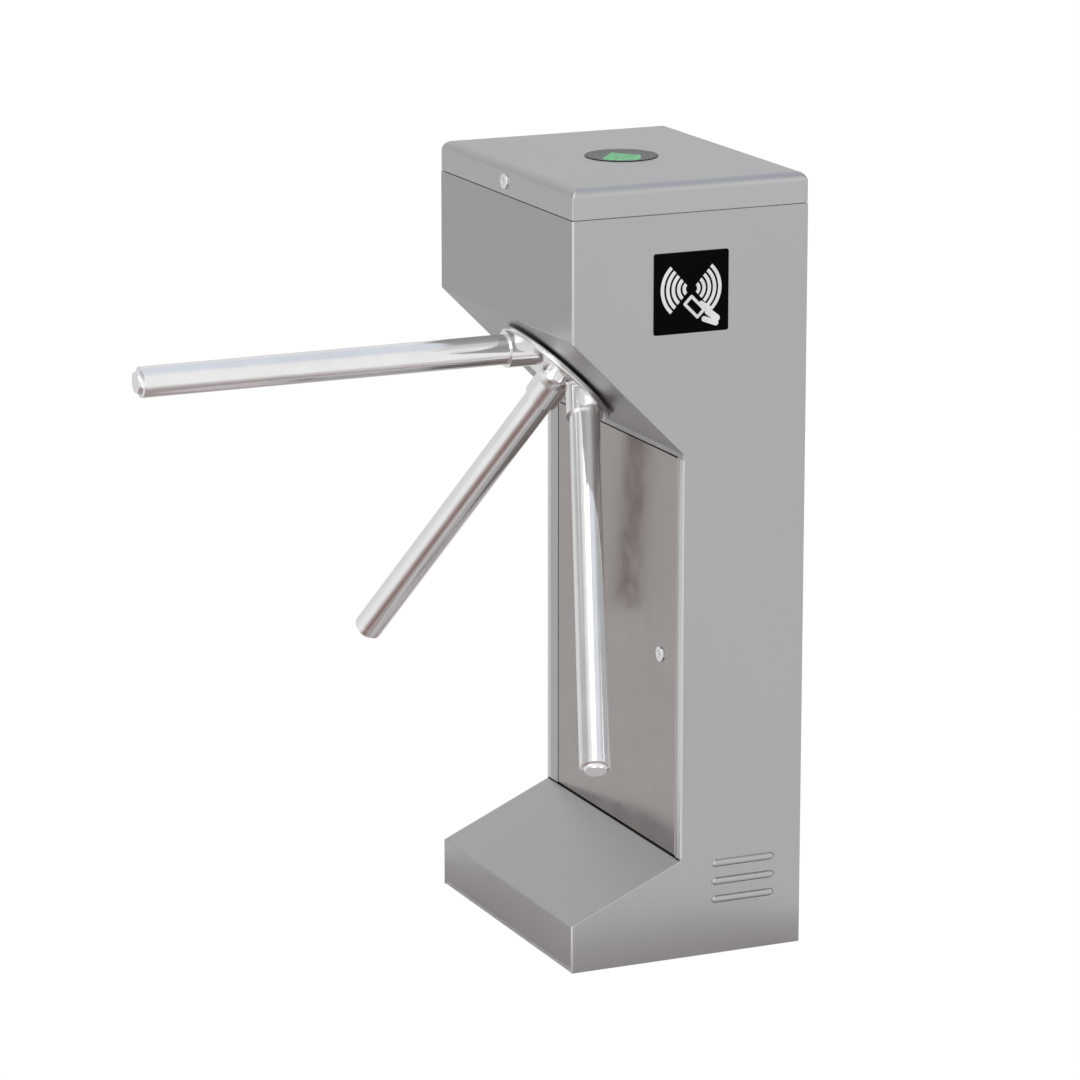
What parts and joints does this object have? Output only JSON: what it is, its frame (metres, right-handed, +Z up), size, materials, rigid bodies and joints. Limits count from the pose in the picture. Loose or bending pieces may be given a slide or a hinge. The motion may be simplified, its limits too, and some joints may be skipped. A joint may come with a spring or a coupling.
{
  "type": "tripod turnstile",
  "caption": "Waist-high tripod turnstile for counting visitors: satin steel cabinet with a card reader side, a sloping foot and a hub of polished arms.",
  "frame": {"origin": "on the floor, at the centre of the floor anchor holes", "axes": "+Z up, -X towards the arms, +Y along the passage away from the reader side"},
  "size_m": [0.8054, 0.7428, 0.981],
  "materials": {
    "satin_sheet": "satin, fine grain",
    "polished_steel": "mirror polished stainless",
    "chrome_trim": "bright plated",
    "galvanised": "zinc plated",
    "machined_steel": "turned and ground",
    "aluminium_plate": "milled",
    "black_glass": "gloss",
    "smoked_lens": "smoked gloss",
    "green_light": "lit diffuser",
    "rubber": "matte",
    "black_plastic": "fine texture",
    "grey_plastic": "moulded",
    "circuit_board": "solder mask",
    "black_metal": "satin black",
    "perforated_case": "sheet, plain"
  },
  "bodies": {
    "cabinet": {"reader_side_panel": "satin_sheet", "far_side_panel": "satin_sheet", "back_panel": "satin_sheet", "head_front_panel": "satin_sheet", "foot_cover": "satin_sheet", "base_plate": "galvanised", "cable_grommet": "rubber", "top_rim": "galvanised", "edge_trims": "rubber", "lid_hinge_lower_leaves": "galvanised", "lid_hinge_pins": "galvanised", "reader_window": "black_glass", "reader_gasket": "rubber", "reader_module": "black_plastic", "mechanism_pillars": "aluminium_plate", "mechanism_plate": "aluminium_plate", "rear_plate": "aluminium_plate", "mechanism_screws": "machined_steel", "bearing_housing": "aluminium_plate", "bearing_outer_rings": "machined_steel", "drive_motor": "black_metal", "position_sensors": "black_plastic", "solenoids": "black_metal", "solenoid_bracket": "galvanised", "pawl_pivots": "machined_steel", "equipment_plate": "galvanised", "power_supply": "perforated_case", "terminal_block": "grey_plastic", "control_board": "circuit_board"},
    "lid_body": {"lid": "satin_sheet", "lid_hinge_upper_leaves": "galvanised", "indicator_lens": "smoked_lens", "indicator_housing": "black_plastic", "indicator_arrow": "green_light", "indicator_board": "circuit_board", "lid_lock_body": "chrome_trim"},
    "lid_lock": {"lid_lock_cam": "chrome_trim"},
    "access_panel_body": {"access_panel": "polished_steel", "panel_lock_body": "chrome_trim"},
    "panel_lock": {"panel_lock_cam": "chrome_trim"},
    "rotor": {"hub": "polished_steel", "arm_sockets": "polished_steel", "hub_cap": "polished_steel", "hub_fixings": "polished_steel", "arm_tube_1": "polished_steel", "arm_tube_2": "polished_steel", "arm_tube_3": "polished_steel", "arm_end_caps": "polished_steel", "main_shaft": "machined_steel", "bearing_inner_rings": "machined_steel", "bearing_balls": "machined_steel", "index_disc": "machined_steel", "drive_gear": "machined_steel", "shaft_key_and_circlip": "machined_steel", "sensor_disc": "aluminium_plate"},
    "pinion": {"motor_pinion": "machined_steel"},
    "pawl_entry": {"locking_pawl_entry": "machined_steel"},
    "pawl_exit": {"locking_pawl_exit": "machined_steel"},
    "plunger_entry": {"solenoid_plunger_entry": "machined_steel"},
    "plunger_exit": {"solenoid_plunger_exit": "machined_steel"}
  },
  "joints": [
    {"name": "hub_spin", "type": "hinge", "parent": "cabinet", "child": "rotor", "pos_m": [-0.0835, 0, 0.718], "axis": [-0.7071, 0, -0.7071], "continuous": true},
    {"name": "pinion_spin", "type": "hinge", "parent": "cabinet", "child": "pinion", "pos_m": [0.00135, 0.072, 0.80285], "axis": [-0.7071, 0, -0.7071], "continuous": true},
    {"name": "lid_hinge", "type": "hinge", "parent": "cabinet", "child": "lid_body", "pos_m": [0.1615, 0, 0.942], "axis": [0, 1, 0], "range_deg": [0, 95]},
    {"name": "lid_lock_turn", "type": "hinge", "parent": "lid_body", "child": "lid_lock", "pos_m": [-0.1575, 0, 0.959], "axis": [1, 0, 0], "range_deg": [0, 90]},
    {"name": "panel_tilt", "type": "hinge", "parent": "cabinet", "child": "access_panel_body", "pos_m": [-0.008, 0.168, 0.383], "axis": [0, 0, -1], "range_deg": [0, 6.5]},
    {"name": "panel_lock_turn", "type": "hinge", "parent": "access_panel_body", "child": "panel_lock", "pos_m": [-0.0095, -0.14, 0.378], "axis": [-1, 0, 0], "range_deg": [0, 90]},
    {"name": "pawl_entry_swing", "type": "hinge", "parent": "cabinet", "child": "pawl_entry", "pos_m": [0.02964, -0.045, 0.75194], "axis": [0.7071, 0, 0.7071], "range_deg": [0, 13.9], "stiffness_Nm_per_rad": 0.4, "springref_deg": -20.05},
    {"name": "pawl_exit_swing", "type": "hinge", "parent": "cabinet", "child": "pawl_exit", "pos_m": [-0.04956, -0.045, 0.83114], "axis": [-0.7071, 0, -0.7071], "range_deg": [0, 13.9], "stiffness_Nm_per_rad": 0.4, "springref_deg": -20.05},
    {"name": "plunger_entry_slide", "type": "slide", "parent": "cabinet", "child": "plunger_entry", "axis": [0.7071, 0, -0.7071], "range_m": [0, 0.0075]},
    {"name": "plunger_exit_slide", "type": "slide", "parent": "cabinet", "child": "plunger_exit", "axis": [-0.7071, 0, 0.7071], "range_m": [0, 0.0075]}
  ],
  "couplings": [
    {"joint": "pinion_spin", "follows": "hub_spin", "ratio": -3},
    {"joint": "plunger_entry_slide", "follows": "pawl_entry_swing", "m_per_rad": 0.0296},
    {"joint": "plunger_exit_slide", "follows": "pawl_exit_swing", "m_per_rad": 0.0296}
  ]
}
